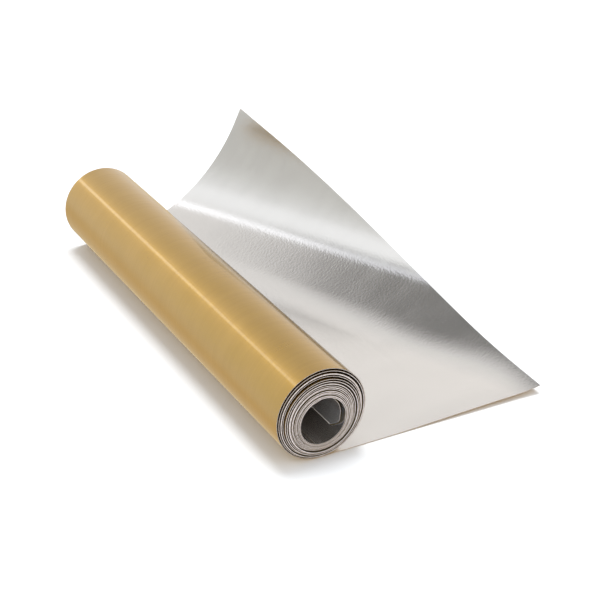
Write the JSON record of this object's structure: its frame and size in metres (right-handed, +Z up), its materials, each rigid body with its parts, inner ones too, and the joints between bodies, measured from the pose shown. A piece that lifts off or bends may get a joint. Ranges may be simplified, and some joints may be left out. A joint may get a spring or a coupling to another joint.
{
  "type": "roll of sign vinyl",
  "caption": "Coreless roll of gold metallised sign vinyl on a silver release liner, its end pulled out flat over a table with the far corner curling up.",
  "frame": {"origin": "on the underside of the flat sheet, on the table, under the line where the sheet leaves the roll, at mid width", "axes": "+X runs out along the pulled-out sheet, +Y along the roll away from the end that is seen into, +Z up"},
  "size_m": [0.1717, 0.3051, 0.0875],
  "materials": {
    "film": "satin metallised gold",
    "liner": "bright metallised silver"
  },
  "bodies": {
    "sheet_flat": {"sheet_flat_film": "film", "sheet_flat_liner": "liner"},
    "outer_wrap_1": {"outer_wrap_1_film": "film", "outer_wrap_1_liner": "liner"},
    "outer_wrap_2": {"outer_wrap_2_film": "film", "outer_wrap_2_liner": "liner"},
    "outer_wrap_3": {"outer_wrap_3_film": "film", "outer_wrap_3_liner": "liner"},
    "outer_wrap_4": {"outer_wrap_4_film": "film", "outer_wrap_4_liner": "liner"},
    "outer_wrap_5": {"outer_wrap_5_film": "film", "outer_wrap_5_liner": "liner"},
    "coil": {"coil_film": "film", "coil_liner": "liner"},
    "curl_1": {"curl_1_film": "film", "curl_1_liner": "liner"},
    "curl_2": {"curl_2_film": "film", "curl_2_liner": "liner"},
    "curl_3": {"curl_3_film": "film", "curl_3_liner": "liner"},
    "curl_4": {"curl_4_film": "film", "curl_4_liner": "liner"},
    "curl_5": {"curl_5_film": "film", "curl_5_liner": "liner"},
    "curl_6": {"curl_6_film": "film", "curl_6_liner": "liner"},
    "curl_7": {"curl_7_film": "film", "curl_7_liner": "liner"},
    "curl_8": {"curl_8_film": "film", "curl_8_liner": "liner"},
    "curl_9": {"curl_9_film": "film", "curl_9_liner": "liner"},
    "curl_10": {"curl_10_film": "film", "curl_10_liner": "liner"},
    "curl_11": {"curl_11_film": "film", "curl_11_liner": "liner"},
    "curl_12": {"curl_12_film": "film", "curl_12_liner": "liner"}
  },
  "joints": [
    {"name": "unroll", "type": "hinge", "parent": "sheet_flat", "child": "outer_wrap_1", "pos_m": [-0.00346, 0, 0], "axis": [0, 1, 0], "range_deg": [-15, 0], "stiffness_Nm_per_rad": 0.05},
    {"name": "unroll_2", "type": "hinge", "parent": "outer_wrap_1", "child": "outer_wrap_2", "pos_m": [-0.01031, 0, 0.00184], "axis": [0, 1, 0], "range_deg": [-15, 0]},
    {"name": "unroll_3", "type": "hinge", "parent": "outer_wrap_2", "child": "outer_wrap_3", "pos_m": [-0.01644, 0, 0.00538], "axis": [0, 1, 0], "range_deg": [-15, 0]},
    {"name": "unroll_4", "type": "hinge", "parent": "outer_wrap_3", "child": "outer_wrap_4", "pos_m": [-0.02143, 0, 0.01037], "axis": [0, 1, 0], "range_deg": [-15, 0]},
    {"name": "unroll_5", "type": "hinge", "parent": "outer_wrap_4", "child": "outer_wrap_5", "pos_m": [-0.02496, 0, 0.01648], "axis": [0, 1, 0], "range_deg": [-15, 0]},
    {"name": "unroll_6", "type": "hinge", "parent": "outer_wrap_5", "child": "coil", "pos_m": [-0.02678, 0, 0.02328], "axis": [0, 1, 0], "range_deg": [-15, 0]},
    {"name": "curl_flex_1", "type": "hinge", "parent": "sheet_flat", "child": "curl_1", "pos_m": [0.05881, 0.02448, 0], "axis": [0.3843, -0.9232, 0], "range_deg": [-7.21, 7.21]},
    {"name": "curl_flex_2", "type": "hinge", "parent": "curl_1", "child": "curl_2", "pos_m": [0.06815, 0.02837, 0.00128], "axis": [0.3843, -0.9232, 0], "range_deg": [-7.21, 7.21]},
    {"name": "curl_flex_3", "type": "hinge", "parent": "curl_2", "child": "curl_3", "pos_m": [0.07727, 0.03216, 0.00382], "axis": [0.3843, -0.9232, 0], "range_deg": [-7.21, 7.21]},
    {"name": "curl", "type": "hinge", "parent": "curl_3", "child": "curl_4", "pos_m": [0.08602, 0.03581, 0.00758], "axis": [0.3843, -0.9232, 0], "range_deg": [-7.21, 7.21], "stiffness_Nm_per_rad": 0.4, "springref_deg": 1.11},
    {"name": "curl_flex_5", "type": "hinge", "parent": "curl_4", "child": "curl_5", "pos_m": [0.09426, 0.03924, 0.0125], "axis": [0.3843, -0.9232, 0], "range_deg": [-7.21, 7.21]},
    {"name": "curl_flex_6", "type": "hinge", "parent": "curl_5", "child": "curl_6", "pos_m": [0.10187, 0.04241, 0.0185], "axis": [0.3843, -0.9232, 0], "range_deg": [-7.21, 7.21]},
    {"name": "curl_flex_7", "type": "hinge", "parent": "curl_6", "child": "curl_7", "pos_m": [0.10873, 0.04526, 0.0255], "axis": [0.3843, -0.9232, 0], "range_deg": [-7.21, 7.21]},
    {"name": "curl_flex_8", "type": "hinge", "parent": "curl_7", "child": "curl_8", "pos_m": [0.11472, 0.04775, 0.03336], "axis": [0.3843, -0.9232, 0], "range_deg": [-7.21, 7.21]},
    {"name": "curl_flex_9", "type": "hinge", "parent": "curl_8", "child": "curl_9", "pos_m": [0.11975, 0.04985, 0.04198], "axis": [0.3843, -0.9232, 0], "range_deg": [-7.21, 7.21]},
    {"name": "curl_flex_10", "type": "hinge", "parent": "curl_9", "child": "curl_10", "pos_m": [0.12374, 0.05151, 0.05122], "axis": [0.3843, -0.9232, 0], "range_deg": [-7.21, 7.21]},
    {"name": "curl_flex_11", "type": "hinge", "parent": "curl_10", "child": "curl_11", "pos_m": [0.12663, 0.05271, 0.06092], "axis": [0.3843, -0.9232, 0], "range_deg": [-7.21, 7.21]},
    {"name": "curl_flex_12", "type": "hinge", "parent": "curl_11", "child": "curl_12", "pos_m": [0.12837, 0.05343, 0.07094], "axis": [0.3843, -0.9232, 0], "range_deg": [-7.21, 7.21]}
  ],
  "couplings": [
    {"joint": "unroll_2", "follows": "unroll", "ratio": 1},
    {"joint": "unroll_3", "follows": "unroll", "ratio": 1},
    {"joint": "unroll_4", "follows": "unroll", "ratio": 1},
    {"joint": "unroll_5", "follows": "unroll", "ratio": 1},
    {"joint": "unroll_6", "follows": "unroll", "ratio": 1},
    {"joint": "curl_flex_1", "follows": "curl", "ratio": 1},
    {"joint": "curl_flex_2", "follows": "curl", "ratio": 1},
    {"joint": "curl_flex_3", "follows": "curl", "ratio": 1},
    {"joint": "curl_flex_5", "follows": "curl", "ratio": 1},
    {"joint": "curl_flex_6", "follows": "curl", "ratio": 1},
    {"joint": "curl_flex_7", "follows": "curl", "ratio": 1},
    {"joint": "curl_flex_8", "follows": "curl", "ratio": 1},
    {"joint": "curl_flex_9", "follows": "curl", "ratio": 1},
    {"joint": "curl_flex_10", "follows": "curl", "ratio": 1},
    {"joint": "curl_flex_11", "follows": "curl", "ratio": 1},
    {"joint": "curl_flex_12", "follows": "curl", "ratio": 1}
  ]
}
